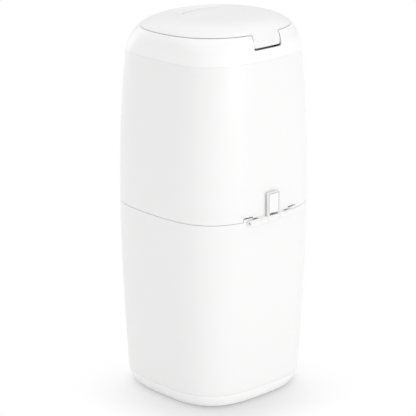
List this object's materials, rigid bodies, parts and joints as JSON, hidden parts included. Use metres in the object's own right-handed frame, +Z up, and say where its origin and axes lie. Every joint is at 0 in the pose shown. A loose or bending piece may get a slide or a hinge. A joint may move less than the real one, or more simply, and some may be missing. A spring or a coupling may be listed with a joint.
{
  "type": "nappy bin",
  "caption": "Free-standing nappy bin with a rounded square body, a lower bucket, a tilting upper half, a hinged domed lid and a sprung film clamp inside.",
  "frame": {"origin": "centre of the base on the floor", "axes": "+Z up; the front, with the release button, is -Y; both hinges are at the rear, +Y; +X is the right-hand side seen from the front"},
  "size_m": [0.242, 0.2479, 0.5592],
  "materials": {
    "shell_white": "smooth moulded, soft sheen",
    "cap_white": "smooth moulded, a little whiter and glossier",
    "trim_grey": "fine satin",
    "inner_white": "satin",
    "rubber_grey": "matt soft rubber",
    "film_blue": "thin smooth film",
    "steel": "bright zinc-plated"
  },
  "bodies": {
    "root": {"plinth": "cap_white", "base_feet": "rubber_grey", "plinth_screws": "steel", "lower_bucket": "shell_white", "hinge_pin": "steel"},
    "upper": {"upper_housing": "shell_white", "hinge_strap": "shell_white", "strap_screws": "steel", "top_collar": "cap_white", "collar_screws": "steel", "lid_hinge_pin": "steel", "cassette_tray": "inner_white", "film_cassette": "trim_grey", "cassette_cap": "inner_white", "film_pack": "film_blue", "film_sleeve": "film_blue", "clamp_frame": "inner_white", "clamp_screws": "steel", "jaw_pin_left": "steel", "jaw_pin_right": "steel", "jaw_spring_left": "steel", "jaw_spring_right": "steel", "cutter_body": "trim_grey", "cutter_blade": "steel", "cutter_screws": "steel", "latch_bracket": "inner_white", "bracket_screws": "steel", "latch_pin": "steel", "latch_spring": "steel"},
    "lid": {"lid": "shell_white", "lid_liner": "inner_white", "liner_screws": "steel", "lid_seal": "rubber_grey"},
    "jaw_left": {"clamp_jaw_left": "trim_grey", "jaw_lip_left": "rubber_grey"},
    "jaw_right": {"clamp_jaw_right": "trim_grey", "jaw_lip_right": "rubber_grey"},
    "latch": {"latch_hook": "trim_grey"},
    "button": {"release_button": "shell_white"}
  },
  "joints": [
    {"name": "upper_tilt", "type": "hinge", "parent": "root", "child": "upper", "pos_m": [0, 0.1228, 0.2815], "axis": [-1, 0, 0], "range_deg": [0, 95]},
    {"name": "lid_hinge", "type": "hinge", "parent": "upper", "child": "lid", "pos_m": [0, 0.10399, 0.536], "axis": [-1, 0, 0], "range_deg": [0, 100]},
    {"name": "jaw_left_swing", "type": "hinge", "parent": "upper", "child": "jaw_left", "pos_m": [-0.066, 0, 0.4595], "axis": [0, 1, 0], "range_deg": [0, 75], "stiffness_Nm_per_rad": 0.05, "springref_deg": -34.38},
    {"name": "jaw_right_swing", "type": "hinge", "parent": "upper", "child": "jaw_right", "pos_m": [0.066, 0, 0.4595], "axis": [0, -1, 0], "range_deg": [0, 75], "stiffness_Nm_per_rad": 0.05, "springref_deg": -34.38},
    {"name": "latch_release", "type": "hinge", "parent": "upper", "child": "latch", "pos_m": [0, -0.10358, 0.3175], "axis": [1, 0, 0], "range_deg": [0, 14], "stiffness_Nm_per_rad": 0.05, "springref_deg": -28.65},
    {"name": "button_press", "type": "slide", "parent": "upper", "child": "button", "axis": [0, 1, 0], "range_m": [0, 0.004]}
  ],
  "couplings": [
    {"joint": "button_press", "follows": "latch_release", "m_per_rad": 0.0163}
  ]
}
